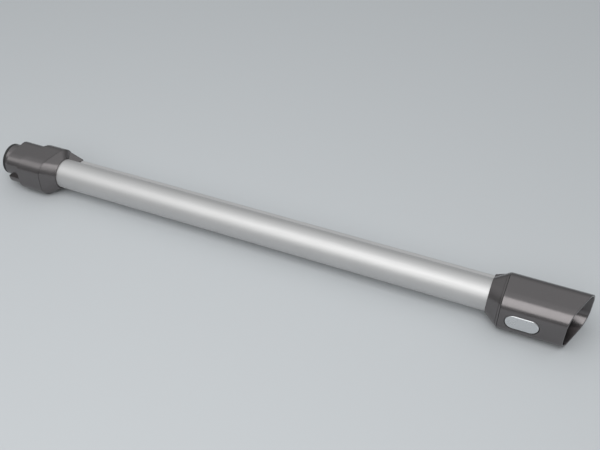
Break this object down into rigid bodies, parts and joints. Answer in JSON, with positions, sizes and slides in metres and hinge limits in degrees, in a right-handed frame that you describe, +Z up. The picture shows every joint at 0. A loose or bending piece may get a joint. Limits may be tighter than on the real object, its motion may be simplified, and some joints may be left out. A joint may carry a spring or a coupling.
{
  "type": "vacuum cleaner tube",
  "caption": "Straight metal vacuum cleaner tube with a wire rib, a stepped plug at the machine end, and a slanted socket cuff with a sprung release button at the tool end.",
  "frame": {"origin": "middle of the box round the part, on the surface it lies on", "axes": "+X along the tube to the tool end's mouth, +Z up, button facing -Y, wire rib facing +Y"},
  "size_m": [0.7399, 0.0588, 0.0504],
  "materials": {
    "tube": "satin anodised",
    "housing": "semi-gloss metallic grey",
    "seal": "matt black",
    "steel": "bright",
    "insulator": "matt black",
    "liner": "satin dark grey",
    "button": "satin silver",
    "lever": "satin black",
    "spring": "bright",
    "contact": "bright",
    "wire_red": "satin",
    "wire_black": "satin"
  },
  "bodies": {
    "wand": {"tube": "tube", "plug_body": "housing", "plug_collar": "housing", "plug_seal": "seal", "plug_screws": "steel", "plug_terminal_block": "insulator", "cuff_body": "housing", "cuff_collar": "housing", "cuff_screws": "steel", "socket_liner": "liner", "socket_terminal_block": "insulator", "pivot_pin": "steel", "return_spring": "spring", "plug_contact_positive": "contact", "plug_contact_negative": "contact", "socket_contact_positive": "contact", "socket_contact_negative": "contact", "wire_positive": "wire_red", "wire_negative": "wire_black"},
    "latch": {"release_button": "button", "latch_lever": "lever"}
  },
  "joints": [
    {"name": "button_rock", "type": "hinge", "parent": "wand", "child": "latch", "pos_m": [0.3164, -0.0229, 0.0252], "axis": [0, 0, -1], "range_deg": [0, 4], "stiffness_Nm_per_rad": 1, "springref_deg": -2.86, "deforming": ["return_spring"]}
  ]
}
